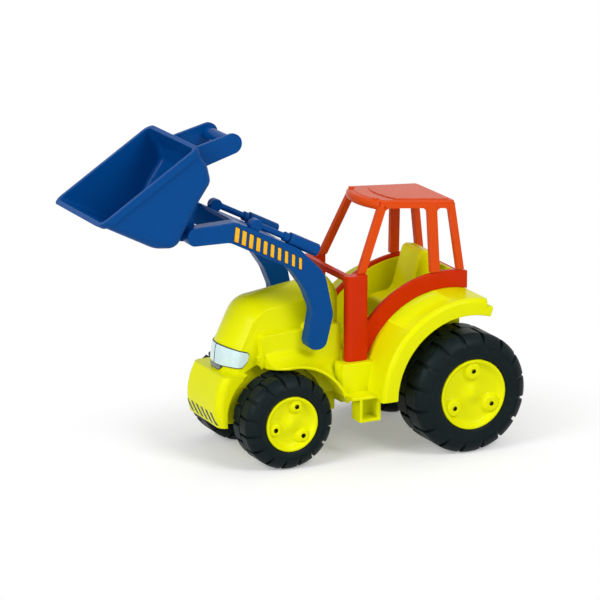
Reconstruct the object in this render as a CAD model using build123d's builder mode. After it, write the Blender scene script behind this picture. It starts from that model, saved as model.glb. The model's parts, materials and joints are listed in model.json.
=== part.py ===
"""Moulded toy tractor with a front loader, for the sandpit.

Lengths are in millimetres and angles in degrees. X points forward, Y to the driver's left, Z up.
The origin is on the floor under the middle of the toy. Outlines seen from the side are drawn in a
side plane: forward distance first, height second, from the rear axle's foot or from a pivot.
"""

import math
import os

from build123d import *

# Clearances
running_clearance = 0.05
seat_clearance = 0.1

# Wheels and axles
rear_axle_x = -149.5
wheelbase = 175.0
axle_radius = 3.0
rear_radius = 58.0
rear_width = 58.0
rear_wheel_gap = 4.5
rear_hub_radius = 33.8
rear_screw_circle = 22.5
front_radius = 44.6
front_width = 45.0
front_wheel_gap = 3.5
front_hub_radius = 26.3
front_screw_circle = 17.0
front_hub_turn = -17.0

# Tread blocks and hub faces
lug_count = 16
lug_share = 0.84
lug_height = 2.2
groove_flank = 1.2
shoulder_width = 8.0
shoulder_drop = 6.5
hub_inset = 1.0
hub_dish = 5.0
hub_sleeve_wall = 4.0
dome_radius = 12.0
boss_overlap = 0.6
boss_recess = 0.4
screw_hole_radius = 2.0
screw_hole_depth = 9.0

# Moulded body
wall = 3.0
hood_half_width = 28.0
crown_drop = 11.0
cowl_z = 164.0
hood_skirt_z = 60.0
pod_half_width = 36.0
pod_top_z = 125.0
channel_half_width = 24.0
channel_bottom_z = 38.0
nose_top_z = 86.0
nose_reach = 60.5
nose_half_width = 36.5
nose_corner = 8.0
wheel_well_gap = 5.4
guard_gap = 12.0
guard_setback = 7.0
guard_inset = 10.5
guard_flare = 13.0
guard_start = 68.0
guard_sweep = 95.0
guard_taper = 22.0
firewall_x = 108.0
tub_half_width = 38.0
tub_bottom_z = 48.0
cab_floor_z = 95.0
fender_gap = 16.0
fender_depth = 16.0
fender_inset = 11.5
fender_corner = 5.0
fender_step = 6.0
fender_sweep = 103.0
fender_tail_sweep = 108.0
sill_length = 38.0
sill_outer_y = 56.0
sill_bottom_z = 60.0
sill_top_z = 90.0
step_length = 22.0
step_depth = 18.0
step_outer_y = 76.0
step_bottom_z = 38.0
lamp_proud = 0.7

# Cab
post_length = 23.0
post_depth = 12.0
post_corner = 5.4
post_top_z = 172.0
band_depth = 17.0
band_thickness = 5.0
band_start = 24.0
band_end = 108.0
band_rear_x = -22.6
rail_size = 6.0
roof_rear_x = -12.0
roof_corner_x = 64.0
roof_bow = 10.0
roof_front_tuck = 3.0
roof_rear_spread = 3.0
roof_underside_z = 227.0
roof_tilt = 4.7
roof_rim = 4.2
roof_crown = 3.0
roof_corner = 6.0
roof_edge = 2.2
roof_ledge = 1.0
visor_radius = 4.6
panel_rise = 0.8
panel_margin = 6.0
panel_setback = 13.0
pillar_thickness = 6.0

# Loader
lift_height = 121.0
lift_setback = 36.0
arm_reach = (122.5, 106.3)
arm_gap = 1.0
arm_thickness = 13.7
arm_edge = 1.2
lift_peg_radius = 5.0
lift_peg_length = 9.0
tip_peg_radius = 4.0
tip_peg_length = 8.0
plate_thickness = 3.2
ram_radius = 6.0
ram_length = 32.0
rod_radius = 3.0
ram_lift = 5.0
ram_overrun = 24.4
ram_eye_setback = 18.8
ram_eye_radius = 6.0
bucket_half_width = 53.8
bucket_wall = 3.0
bucket_edge = 8.0
bucket_rim = 7.0
bucket_rim_proud = 1.5
lug_thickness = 6.0
ear_y = 24.5
ear_thickness = 4.0
ear_end_radius = 9.5
grip_centre = (-47.0, 77.7)
grip_radius = 6.0

# Places worked out from the sizes above
lug_pitch = 360 / lug_count
groove_half = lug_pitch * (1 - lug_share) / 2
rear_axle_z = rear_radius * math.cos(math.radians(groove_half))
front_axle_z = front_radius * math.cos(math.radians(groove_half))
rear_outer_y = tub_half_width + rear_wheel_gap + rear_width
front_outer_y = channel_half_width + front_wheel_gap + front_width
rear_axle = (rear_axle_x, 0, rear_axle_z)
front_axle = (rear_axle_x + wheelbase, 0, front_axle_z)
fender_inner_radius = rear_radius + fender_gap
fender_outer_radius = fender_inner_radius + fender_depth
fender_outer_y = rear_outer_y - fender_inset
guard_radius = front_radius + guard_gap
guard_centre = (front_axle[0] - guard_setback, 0, front_axle_z - guard_setback)
guard_outer_y = front_outer_y - guard_inset
well_radius = front_radius + wheel_well_gap
band_inner_radius = fender_outer_radius + seat_clearance
band_outer_radius = fender_outer_radius + band_depth
band_y = tub_half_width + seat_clearance
tub_rear_x = band_rear_x + band_thickness + seat_clearance
post_x = firewall_x - post_length / 2
post_y = band_y + post_depth / 2
lift_pivot = (rear_axle_x + wheelbase - lift_setback, 0, lift_height)
tip_pivot = (lift_pivot[0] + arm_reach[0], 0, lift_height + arm_reach[1])
arm_inner_y = pod_half_width + arm_gap

side = Plane(origin=(rear_axle_x, 0, 0), x_dir=(1, 0, 0), z_dir=(0, -1, 0))
lift_side = Plane(origin=lift_pivot, x_dir=(1, 0, 0), z_dir=(0, -1, 0))
tip_side = Plane(origin=tip_pivot, x_dir=(1, 0, 0), z_dir=(0, -1, 0))


def radial_plane(centre, degrees, hand=1):
    """A plane through an axle: first coordinate outward along it, second away from it."""
    a = math.radians(degrees)
    normal = (hand * math.sin(a), 0, -hand * math.cos(a))
    return Plane(origin=centre, x_dir=(0, hand, 0), z_dir=normal)


def axle_line(centre):
    """The axle's own line, turned so that a positive angle lifts the front."""
    return Axis(centre, (0, -1, 0))


def round_axle(radius, degrees):
    """A side-plane point at an angle round the rear axle."""
    a = math.radians(degrees)
    return (radius * math.cos(a), rear_axle_z + radius * math.sin(a))


def band_top(x, half_width):
    """Height just above the cab band under a pillar that stands at x."""
    near = max(abs(x) - half_width, 0)
    return rear_axle_z + math.sqrt(band_outer_radius**2 - near**2) + seat_clearance


def save(builder, label):
    builder.part.label = label
    export_step(builder.part, "parts/" + label + ".step")


# Wheels


def tread_outline(radius, phase):
    """Corners of one row of tread blocks, seen along the axle."""
    half = lug_share * lug_pitch / 2
    profile = (
        (-half - groove_flank, radius - lug_height),
        (-half, radius),
        (half, radius),
        (half + groove_flank, radius - lug_height),
    )
    corners = []
    for i in range(lug_count):
        for turn, r in profile:
            a = math.radians(phase + i * lug_pitch + turn)
            corners.append((r * math.cos(a), r * math.sin(a)))
    return corners


def make_tyre(label, centre, hand, radius, width, outer_y, bore):
    """A ring with two staggered rows of blocks, cut back along its shoulders."""
    across = Plane(centre, x_dir=(0, 0, -1), z_dir=(0, hand, 0))
    inner_y = outer_y - width
    with BuildPart() as tyre:
        for row, phase in ((1, 0), (-1, lug_pitch / 2)):
            with BuildSketch(across.offset((inner_y + outer_y) / 2)):
                with BuildLine():
                    Polyline(*tread_outline(radius, phase), close=True)
                make_face()
            extrude(amount=row * width / 2)
        for edge_y, inward in ((outer_y, -1), (inner_y, 1)):
            with BuildSketch(radial_plane(centre, 90, hand)):
                with BuildLine():
                    Polyline(
                        (edge_y, radius - shoulder_drop),
                        (edge_y + inward * shoulder_width, radius),
                        (edge_y, radius),
                        close=True,
                    )
                make_face()
            revolve(axis=axle_line(centre), mode=Mode.SUBTRACT)
        with BuildSketch(across.offset(outer_y)):
            Circle(bore)
        extrude(amount=-width, mode=Mode.SUBTRACT)
    save(tyre, label)


def make_hub(label, centre, hand, radius, width, outer_y, screw_circle, turn):
    """A drum with a dished face, a centre dome and three screw bosses, hollow behind."""
    inner_y = outer_y - width
    lip_y = outer_y - hub_inset
    face_y = lip_y - hub_dish
    back_y = face_y - wall
    bore = axle_radius + running_clearance
    boss_radius = radius - wall - screw_circle + boss_overlap
    dome_sphere = (dome_radius**2 + hub_dish**2) / (2 * hub_dish)
    dome_half = math.asin(dome_radius / dome_sphere) / 2
    dome_middle = (
        lip_y - dome_sphere * (1 - math.cos(dome_half)),
        dome_sphere * math.sin(dome_half),
    )
    with BuildPart() as hub:
        with BuildSketch(radial_plane(centre, 90, hand)):
            with BuildLine():
                Polyline(
                    (lip_y, 0),
                    (back_y, 0),
                    (back_y, bore),
                    (inner_y, bore),
                    (inner_y, bore + hub_sleeve_wall),
                    (back_y, bore + hub_sleeve_wall),
                    (back_y, radius - wall),
                    (inner_y, radius - wall),
                    (inner_y, radius),
                    (lip_y, radius),
                    (lip_y, radius - wall),
                    (face_y, radius - wall),
                    (face_y, dome_radius),
                )
                ThreePointArc((face_y, dome_radius), dome_middle, (lip_y, 0))
            make_face()
        revolve(axis=axle_line(centre))
        boss_top = lip_y - boss_recess
        across = Plane(centre, x_dir=(0, 0, 1), z_dir=(0, hand, 0)).offset(boss_top)
        with BuildSketch(across):
            with PolarLocations(screw_circle, 3, turn):
                Circle(boss_radius)
        extrude(amount=-screw_hole_depth - wall)
        with BuildSketch(across):
            with PolarLocations(screw_circle, 3, turn):
                Circle(screw_hole_radius)
        extrude(amount=-screw_hole_depth, mode=Mode.SUBTRACT)
    save(hub, label)


def make_axle(label, centre, hub_outer_y):
    """A plain rod that ends inside the hubs' blind sleeves."""
    half_length = hub_outer_y - hub_inset - hub_dish - wall - running_clearance
    with BuildPart() as axle:
        with BuildSketch(Plane(centre, x_dir=(1, 0, 0), z_dir=(0, 1, 0))):
            Circle(axle_radius)
        extrude(amount=half_length, both=True)
    save(axle, label)


os.makedirs("parts", exist_ok=True)

for side_name, hand in (("left", 1), ("right", -1)):
    make_tyre("tyre_rear_" + side_name, rear_axle, hand, rear_radius, rear_width, rear_outer_y,
              rear_hub_radius + seat_clearance)
    make_hub("hub_rear_" + side_name, rear_axle, hand, rear_hub_radius, rear_width, rear_outer_y,
             rear_screw_circle, 0)
    make_tyre("tyre_front_" + side_name, front_axle, hand, front_radius, front_width,
              front_outer_y, front_hub_radius + seat_clearance)
    # The two front hubs' screws line up along the axle
    make_hub("hub_front_" + side_name, front_axle, hand, front_hub_radius, front_width,
             front_outer_y, front_screw_circle, hand * front_hub_turn)

make_axle("axle_rear", rear_axle, rear_outer_y)
make_axle("axle_front", front_axle, front_outer_y)


# Hood, nose and their hollows


def hood_outline(drop):
    """Top and front line of the hood; away from the crown it lies lower and further back."""
    front_x = wheelbase + 46.5 - drop
    return [
        (firewall_x, cowl_z - drop),
        (wheelbase + 22.5 - 0.6 * drop, cowl_z - 12 - drop),
        (front_x - 2, nose_top_z + 22 - 0.3 * drop),
        (front_x, nose_top_z),
        (front_x, hood_skirt_z),
    ]


def hood_form(inset):
    """The crowned hood, drawn inset from the outside."""
    half_width = hood_half_width - inset
    with BuildPart() as hood:
        for share in (-1, -0.5, 0, 0.5, 1):
            with BuildSketch(side.offset(share * half_width)):
                with BuildLine():
                    top = FilletPolyline(*hood_outline(inset + crown_drop * share**2),
                                         radius=[22, 30, 12])
                    Polyline(top @ 1, (firewall_x, hood_skirt_z), top @ 0)
                make_face()
        loft()
    return hood.part


def nose_form(inset, bottom_z):
    """The bumper box under the lamps, rounded in plan and swelling in the middle."""
    back_x = wheelbase + 26 + inset
    sections = (
        (bottom_z, nose_reach - 3),
        ((channel_bottom_z + nose_top_z) / 2, nose_reach),
        (nose_top_z - inset, nose_reach - 8),
    )
    with BuildPart() as nose:
        for z, reach in sections:
            front_x = wheelbase + reach - inset
            with BuildSketch(Plane.XY.offset(z)):
                with Locations((rear_axle_x + (back_x + front_x) / 2, 0)):
                    RectangleRounded(front_x - back_x, 2 * (nose_half_width - inset),
                                     nose_corner - inset)
        loft()
    return nose.part


def wheel_wells(inner_y, radius):
    """Round spaces for the front wheels, from inner_y outward."""
    with BuildPart() as wells:
        for hand in (1, -1):
            across = Plane(front_axle, x_dir=(1, 0, 0), z_dir=(0, hand, 0))
            with BuildSketch(across.offset(inner_y)):
                Circle(radius)
            extrude(amount=nose_half_width)
    return wells.part


def front_guard(hand):
    """Mudguard that flares out of the pod's side, its front end swept back in plan."""
    tip_x = guard_centre[0] + guard_radius * math.cos(math.radians(guard_start))
    with BuildPart() as guard:
        with BuildSketch(radial_plane(guard_centre, guard_start, hand)):
            with BuildLine():
                Polyline(
                    (pod_half_width, guard_radius + guard_flare),
                    (pod_half_width - wall, guard_radius + guard_flare),
                    (pod_half_width - wall, guard_radius),
                    (guard_outer_y, guard_radius),
                    (guard_outer_y, guard_radius + wall),
                )
                ThreePointArc(
                    (guard_outer_y, guard_radius + wall),
                    (pod_half_width + 0.4 * (guard_outer_y - pod_half_width),
                     guard_radius + wall + 0.2 * (guard_flare - wall)),
                    (pod_half_width, guard_radius + guard_flare),
                )
            make_face()
        revolve(axis=axle_line(guard_centre), revolution_arc=guard_sweep)
        with BuildSketch(Plane.XY):
            with BuildLine():
                root = (tip_x - wall, hand * pod_half_width)
                edge = (tip_x - guard_taper, hand * (guard_outer_y + wall))
                corner = (tip_x + guard_flare, hand * (guard_outer_y + wall))
                ThreePointArc(
                    root,
                    (tip_x - 0.3 * guard_taper, hand * (0.4 * pod_half_width + 0.6 * guard_outer_y)),
                    edge,
                )
                Polyline(edge, corner, (corner[0], hand * pod_half_width), root)
            make_face()
        extrude(amount=cowl_z, mode=Mode.SUBTRACT)
    return guard.part


hood = hood_form(0)

with BuildPart() as front_hollow:
    add(hood_form(wall))
    add(nose_form(wall, channel_bottom_z - wall))
    with BuildSketch(side):
        with BuildLine():
            Polyline(
                (firewall_x + wall, hood_skirt_z - wall),
                (firewall_x + wall, pod_top_z - wall),
                (wheelbase + 11, pod_top_z - 2 * wall),
                (wheelbase + 15 - wall, pod_top_z - 9),
                (wheelbase + 15 - wall, hood_skirt_z - wall),
                close=True,
            )
        make_face()
    extrude(amount=pod_half_width - wall, both=True)
    add(wheel_wells(channel_half_width - wall, well_radius + wall), mode=Mode.SUBTRACT)
    channel = (firewall_x + wall, wheelbase + nose_reach - 8)
    with BuildSketch(Plane.XY.offset(channel_bottom_z - wall)):
        with Locations((rear_axle_x + sum(channel) / 2, 0)):
            Rectangle(channel[1] - channel[0], 2 * (channel_half_width - wall))
    extrude(amount=hood_skirt_z - channel_bottom_z + 2 * wall)

with BuildPart() as body_shell:
    add(hood)
    add(nose_form(0, channel_bottom_z))
    # Side pods beside the hood, and the channel that carries the front axle
    with BuildSketch(side):
        with BuildLine():
            Polyline(
                (firewall_x, hood_skirt_z),
                (firewall_x, pod_top_z),
                (wheelbase + 11, pod_top_z - wall),
                (wheelbase + 15, pod_top_z - 7),
                (wheelbase + 15, hood_skirt_z),
                close=True,
            )
        make_face()
    extrude(amount=pod_half_width, both=True)
    with BuildSketch(Plane.XY.offset(channel_bottom_z)):
        with Locations((rear_axle_x + (firewall_x + wheelbase + 40) / 2, 0)):
            Rectangle(wheelbase + 40 - firewall_x, 2 * channel_half_width)
    extrude(amount=hood_skirt_z - channel_bottom_z + wall)
    add(wheel_wells(channel_half_width, well_radius), mode=Mode.SUBTRACT)
    add(front_hollow.part, mode=Mode.SUBTRACT)
    # Tub: side walls that follow the cab's bands, open above its floor and below it
    with BuildSketch(side):
        with BuildLine():
            rim = band_outer_radius - wall
            rear_top = (tub_rear_x, rear_axle_z + math.sqrt(rim**2 - tub_rear_x**2))
            door_foot = round_axle(rim, 28)
            ThreePointArc(rear_top, round_axle(rim, 66), door_foot)
            Polyline(
                door_foot,
                (firewall_x, sill_top_z + 10),
                (firewall_x, tub_bottom_z),
                (tub_rear_x, tub_bottom_z),
                rear_top,
            )
        make_face()
    extrude(amount=tub_half_width, both=True)
    tub_middle = rear_axle_x + (tub_rear_x + firewall_x) / 2
    tub_inside = (firewall_x - tub_rear_x - 2 * wall, 2 * (tub_half_width - wall))
    for start_z, height in ((cab_floor_z, cowl_z), (cab_floor_z - wall, -cab_floor_z)):
        with BuildSketch(Plane.XY.offset(start_z)):
            with Locations((tub_middle, 0)):
                Rectangle(*tub_inside)
        extrude(amount=height, mode=Mode.SUBTRACT)
    for hand in (1, -1):
        # Rear fender: a roof over the tyre with a lip outside, and a lower tail behind
        for outer, corner, reach in (
            (fender_outer_radius, fender_corner, fender_sweep),
            (fender_outer_radius - fender_step, fender_corner / 2, fender_tail_sweep),
        ):
            with BuildSketch(radial_plane(rear_axle, 0, hand)):
                with BuildLine():
                    bend = corner * (1 - math.sqrt(0.5))
                    Polyline(
                        (fender_outer_y, outer - corner),
                        (fender_outer_y, fender_inner_radius),
                        (fender_outer_y - wall, fender_inner_radius),
                        (fender_outer_y - wall, outer - wall),
                        (tub_half_width - wall, outer - wall),
                        (tub_half_width - wall, outer),
                        (fender_outer_y - corner, outer),
                    )
                    ThreePointArc(
                        (fender_outer_y - corner, outer),
                        (fender_outer_y - bend, outer - bend),
                        (fender_outer_y, outer - corner),
                    )
                make_face()
            revolve(axis=axle_line(rear_axle), revolution_arc=reach)
        add(front_guard(hand))
        # Sill under the cab post, with a ledge and the step that hangs from it
        sill_middle = rear_axle_x + firewall_x - post_length / 2
        sill_y = (tub_half_width + sill_outer_y) / 2
        with BuildSketch(Plane.XY.offset(sill_bottom_z)):
            with Locations((sill_middle, hand * sill_y)):
                Rectangle(sill_length, sill_outer_y - tub_half_width)
        extrude(amount=sill_top_z - sill_bottom_z)
        with BuildSketch(Plane.XY.offset(sill_bottom_z)):
            with Locations((sill_middle, hand * (tub_half_width + step_outer_y) / 2)):
                Rectangle(sill_length, step_outer_y - tub_half_width)
        extrude(amount=wall)
        with BuildSketch(Plane.XY.offset(sill_bottom_z)):
            with Locations((sill_middle, hand * (sill_y - wall / 2))):
                Rectangle(sill_length - 2 * wall, sill_outer_y - tub_half_width - wall)
        extrude(amount=sill_top_z - sill_bottom_z - wall, mode=Mode.SUBTRACT)
        with BuildSketch(Plane.XY.offset(step_bottom_z)):
            with Locations((sill_middle, hand * (step_outer_y - step_depth / 2))):
                Rectangle(step_length, step_depth)
        extrude(amount=sill_bottom_z - step_bottom_z)
        with BuildSketch(Plane.XY.offset(step_bottom_z + wall)):
            with Locations((sill_middle, hand * (step_outer_y - step_depth / 2 + wall))):
                Rectangle(step_length - 2 * wall, step_depth)
        extrude(amount=sill_bottom_z - step_bottom_z - wall, mode=Mode.SUBTRACT)
        # Boss behind the socket that the loader's peg turns in
        with BuildSketch(lift_side.offset(-hand * (pod_half_width - lift_peg_length))):
            Circle(lift_peg_radius + wall)
        extrude(amount=-hand * lift_peg_length)
        with BuildSketch(lift_side.offset(-hand * pod_half_width)):
            Circle(lift_peg_radius + running_clearance)
        extrude(amount=hand * lift_peg_length, mode=Mode.SUBTRACT)
    for centre, half in ((rear_axle, tub_half_width), (front_axle, channel_half_width)):
        with BuildSketch(Plane(centre, x_dir=(1, 0, 0), z_dir=(0, 1, 0))):
            Circle(axle_radius + seat_clearance)
        extrude(amount=half + seat_clearance, both=True, mode=Mode.SUBTRACT)
save(body_shell, "body_shell")

# Lamp strip: a thin moulding that wraps the hood's front and corners above the nose
lamp_z = nose_top_z + 16
lamp_end_x = wheelbase + 23.5
lamp_front_x = wheelbase + nose_reach
with BuildPart() as lamp_strip:
    with BuildSketch(Plane.YZ.offset(rear_axle_x + lamp_end_x)):
        with BuildLine():
            rim_y = hood_half_width + 2 * lamp_proud
            half = [
                (rim_y, lamp_z + 6),
                (0.5 * rim_y, lamp_z + 10.5),
                (-0.5 * rim_y, lamp_z + 10.5),
                (-rim_y, lamp_z + 6),
                (-rim_y, lamp_z - 10.5),
                (-14, lamp_z - 10.5),
                (-9, lamp_z - 15),
                (9, lamp_z - 15),
                (14, lamp_z - 10.5),
                (rim_y, lamp_z - 10.5),
            ]
            FilletPolyline(*half, radius=[1, 14, 14, 1, 1, 3, 3, 3, 3, 1], close=True)
        make_face()
    extrude(amount=nose_reach)
    with BuildSketch(side):
        with BuildLine():
            FilletPolyline(
                (lamp_front_x, lamp_z + 13),
                (lamp_end_x + 6.5, lamp_z + 5.5),
                (lamp_end_x, lamp_z + 3.5),
                (lamp_end_x + 2, lamp_z - 5),
                (lamp_end_x + 8, lamp_z - 11),
                (lamp_end_x + 13, lamp_z - 11),
                (lamp_end_x + 13, lamp_z - 16),
                (lamp_front_x, lamp_z - 16),
                radius=[1, 6, 3, 6, 3, 1, 1, 1],
                close=True,
            )
        make_face()
    extrude(amount=hood_half_width + 2 * lamp_proud, both=True, mode=Mode.INTERSECT)
    add(hood_form(-lamp_proud), mode=Mode.INTERSECT)
    add(hood, mode=Mode.SUBTRACT)
save(lamp_strip, "lamp_strip")

# Driver's seat: cushion and backrest in one moulding, hollow below
seat_half_width = 19.0
seat_front_x = 52.0
seat_back_x = -8.0
seat_top_z = 187.0
cushion_z = 137.0
with BuildPart() as seat:
    with BuildSketch(side):
        with BuildLine():
            FilletPolyline(
                (seat_back_x, cab_floor_z),
                (seat_front_x, cab_floor_z),
                (seat_front_x, cushion_z - 4),
                (seat_back_x + 35, cushion_z),
                (seat_back_x + 31, seat_top_z),
                (seat_back_x + 17, seat_top_z - 3),
                (seat_back_x, cushion_z),
                radius=[0.5, 0.5, 5, 8, 5, 5, 8],
                close=True,
            )
        make_face()
    extrude(amount=seat_half_width, both=True)
    with BuildSketch(Plane.XY.offset(cab_floor_z)):
        with Locations((rear_axle_x + (seat_back_x + seat_front_x) / 2, 0)):
            Rectangle(seat_front_x - seat_back_x - 2 * wall, 2 * (seat_half_width - wall))
    extrude(amount=cushion_z - cab_floor_z - 4 * wall, mode=Mode.SUBTRACT)
save(seat, "seat")

# Lower cab frame: two posts, the bands over the fenders, and the rails that join them
with BuildPart() as cab_base:
    for hand in (1, -1):
        with BuildSketch(Plane.XY.offset(sill_top_z)):
            with Locations((rear_axle_x + post_x, hand * post_y)):
                RectangleRounded(post_length, post_depth, post_corner)
        extrude(amount=post_top_z - sill_top_z)
        with BuildSketch(radial_plane(rear_axle, band_start, hand)):
            with Locations((band_y + band_thickness / 2,
                            (band_inner_radius + band_outer_radius) / 2)):
                Rectangle(band_thickness, band_outer_radius - band_inner_radius)
        revolve(axis=axle_line(rear_axle), revolution_arc=band_end - band_start)
    with BuildSketch(side):
        with Locations((band_rear_x, rear_axle_z)):
            Rectangle(band_outer_radius, 2 * band_outer_radius, align=(Align.MAX, Align.CENTER))
    extrude(amount=rear_outer_y, both=True, mode=Mode.SUBTRACT)
    with BuildSketch(Plane.XY.offset(post_top_z - rail_size)):
        with Locations((rear_axle_x + firewall_x - rail_size / 2 - 1, 0)):
            Rectangle(rail_size, 2 * post_y)
    extrude(amount=rail_size)
    rail_front_x = band_rear_x + band_thickness
    rail_foot_z = rear_axle_z + math.sqrt(band_inner_radius**2 - rail_front_x**2) + seat_clearance
    with BuildSketch(Plane.XY.offset(rail_foot_z)):
        with Locations((rear_axle_x + band_rear_x + band_thickness / 2, 0)):
            Rectangle(band_thickness, 2 * (band_y + band_thickness))
    extrude(amount=band_depth - 4)
save(cab_base, "cab_base")

# Roof with its front visor, raised panel and six pillars
tilt = math.radians(roof_tilt)
roof_front_half = band_y - roof_front_tuck
roof_rear_half = band_y + roof_rear_spread
roof_middle_x = (roof_rear_x + roof_corner_x) / 2
roof_half_length = (roof_corner_x - roof_rear_x) / 2
roof_plane = Plane(
    origin=(rear_axle_x + roof_middle_x, 0, roof_underside_z),
    x_dir=(math.cos(tilt), 0, math.sin(tilt)),
    z_dir=(-math.sin(tilt), 0, math.cos(tilt)),
)


def roof_form(inset, setback, start, height):
    """A slab with the roof's plan: tapered, bowed in front, inset all round, its front set back."""
    front = roof_half_length - setback
    with BuildPart() as slab:
        with BuildSketch(roof_plane.offset(start)) as plan:
            with BuildLine():
                Polyline(
                    (front, roof_front_half),
                    (-roof_half_length, roof_rear_half),
                    (-roof_half_length, -roof_rear_half),
                    (front, -roof_front_half),
                )
                ThreePointArc((front, -roof_front_half), (front + roof_bow, 0), (front, roof_front_half))
            make_face()
            fillet(plan.vertices(), roof_corner)
            if inset:
                offset(amount=-inset, mode=Mode.REPLACE)
        extrude(amount=height)
    return slab.part


pillars = (
    (firewall_x - 18.5, band_y + 2.5, post_top_z, roof_corner_x - 1, roof_front_half - 3.5, 8.0),
    (12.3, band_y + 3.5, None, 13.8, roof_rear_half - 4, 9.5),
    (-15.0, band_y + 3, None, -6.5, roof_rear_half - 3.5, 7.0),
)
with BuildPart() as cab_roof:
    add(roof_form(0, 0, 0, roof_rim))
    add(roof_form(roof_ledge, 0, roof_rim, roof_crown))
    upright = Axis(roof_plane.origin, roof_plane.z_dir)
    fillet(faces().sort_by(upright)[-1].edges(), roof_edge)
    add(roof_form(wall, 0, 0, roof_rim + roof_crown - wall), mode=Mode.SUBTRACT)
    add(roof_form(panel_margin, panel_setback, roof_rim + roof_crown, panel_rise))
    with BuildLine(roof_plane.offset(roof_rim / 2)) as visor_path:
        ThreePointArc(
            (roof_half_length, -roof_front_half + visor_radius),
            (roof_half_length + roof_bow, 0),
            (roof_half_length, roof_front_half - visor_radius),
        )
    with BuildSketch(Plane(visor_path.line @ 0, z_dir=visor_path.line % 0)):
        Circle(visor_radius)
    sweep(path=visor_path.line)
    for hand in (1, -1):
        with BuildSketch(roof_plane.offset(roof_rim)):
            with Locations((roof_half_length + 3, hand * 0.72 * roof_front_half)):
                Rectangle(visor_radius, visor_radius)
        extrude(amount=roof_crown + 1.2)
        for foot_x, foot_y, foot_z, head_x, head_y, breadth in pillars:
            start_z = foot_z or band_top(foot_x, breadth / 2)
            end_z = roof_underside_z + (head_x - roof_middle_x) * math.tan(tilt) + roof_rim / 2
            for x, y, z in ((foot_x, foot_y, start_z), (head_x, head_y, end_z)):
                with BuildSketch(Plane.XY.offset(z)):
                    with Locations((rear_axle_x + x, hand * y)):
                        Rectangle(breadth, pillar_thickness)
            loft()
save(cab_roof, "cab_roof")

# Loader arms joined by a cross plate, with pegs that turn in the body
arm_outline = [
    (-8.5, -14.5),
    (-16.5, 18),
    (-8, 58),
    (18, 84),
    (arm_reach[0] - 40.5, arm_reach[1] + 10),
    (arm_reach[0] + 8.3, arm_reach[1] + 8.3),
    (arm_reach[0] + 8.3, arm_reach[1] - 8.3),
    (arm_reach[0] - 34, arm_reach[1] - 8.7),
    (28, 67),
    (13, 45),
    (4.5, 24),
    (12, -14.5),
]
arm_rounding = [9, 16, 30, 30, 12, 8, 8, 14, 25, 25, 18, 9]
plate_start = (22, 86)
plate_end = (arm_reach[0] - 43, arm_reach[1] + 8.7)
plate_rise = math.atan2(plate_end[1] - plate_start[1], plate_end[0] - plate_start[0])
with BuildPart() as loader_arms:
    for hand in (1, -1):
        with BuildSketch(lift_side.offset(-hand * arm_inner_y)):
            with BuildLine():
                FilletPolyline(*arm_outline, radius=arm_rounding, close=True)
            make_face()
        extrude(amount=-hand * arm_thickness)
        outer_face = faces().sort_by(Axis.Y)[-1 if hand > 0 else 0]
        fillet(outer_face.edges(), arm_edge)
    for hand in (1, -1):
        with BuildSketch(lift_side.offset(-hand * arm_inner_y)):
            Circle(lift_peg_radius)
        extrude(amount=hand * lift_peg_length)
        with BuildSketch(tip_side.offset(-hand * arm_inner_y)):
            Circle(tip_peg_radius + running_clearance)
        extrude(amount=-hand * (tip_peg_length + 1), mode=Mode.SUBTRACT)
    with BuildSketch(lift_side):
        with BuildLine():
            drop = (plate_thickness * math.sin(plate_rise), -plate_thickness * math.cos(plate_rise))
            Polyline(
                plate_start,
                plate_end,
                (plate_end[0] + drop[0], plate_end[1] + drop[1]),
                (plate_start[0] + drop[0], plate_start[1] + drop[1]),
                close=True,
            )
        make_face()
    extrude(amount=arm_inner_y + arm_edge, both=True)
save(loader_arms, "loader_arms")

# Moulded rams lying along the arms' tops, level with the cross plate


def along_plate(distance, lift):
    """A point beside the lift pivot: distance along the cross plate's top, and lift above it."""
    return (
        plate_start[0] + distance * math.cos(plate_rise) - lift * math.sin(plate_rise),
        plate_start[1] + distance * math.sin(plate_rise) + lift * math.cos(plate_rise),
    )


plate_length = math.hypot(plate_end[0] - plate_start[0], plate_end[1] - plate_start[1])
ram_foot = along_plate(-ram_overrun, ram_lift)
ram_eye = along_plate(plate_length - ram_eye_setback, ram_lift - 1)
rod_length = plate_length - ram_eye_setback + ram_overrun
for side_name, hand in (("left", 1), ("right", -1)):
    ram_y = hand * (arm_inner_y + arm_thickness / 2)
    foot = (lift_pivot[0] + ram_foot[0], ram_y, lift_height + ram_foot[1])
    line = Plane(foot, x_dir=(0, 1, 0), z_dir=(math.cos(plate_rise), 0, math.sin(plate_rise)))
    with BuildPart() as ram:
        with BuildSketch(line):
            Circle(ram_radius)
        extrude(amount=ram_length)
        with BuildSketch(line):
            Circle(rod_radius)
        extrude(amount=rod_length)
        with BuildSketch(line.offset(ram_length + 1)):
            Circle((ram_radius + rod_radius) / 2)
        extrude(amount=rod_radius + 2)
        with BuildSketch(lift_side.offset(-ram_y)):
            with Locations(ram_eye):
                Circle(ram_eye_radius)
        extrude(amount=ram_eye_radius * 0.7, both=True)
        add(loader_arms.part, mode=Mode.SUBTRACT)
    save(ram, "ram_" + side_name)

# Bucket: a curled scoop with rounded edges, lugs at the arms' tips and grip ears behind
lip = (95.5, 21.7)
crest = (-0.5, 84)
scoop_outline = [(131.1, 39.9), (40, -6.6), (19, -8.5), (-2, 30), (-16, 50), (-12.5, 66), (21.6, 117.2)]
scoop_rounding = [30, 12, 20, 10, 20]
mouth = math.atan2(crest[1] - lip[1], crest[0] - lip[0])
outward = (math.sin(mouth), -math.cos(mouth))


def beyond_mouth(point, distance):
    """A point moved out through the bucket's open mouth."""
    return (point[0] + outward[0] * distance, point[1] + outward[1] * distance)


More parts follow.
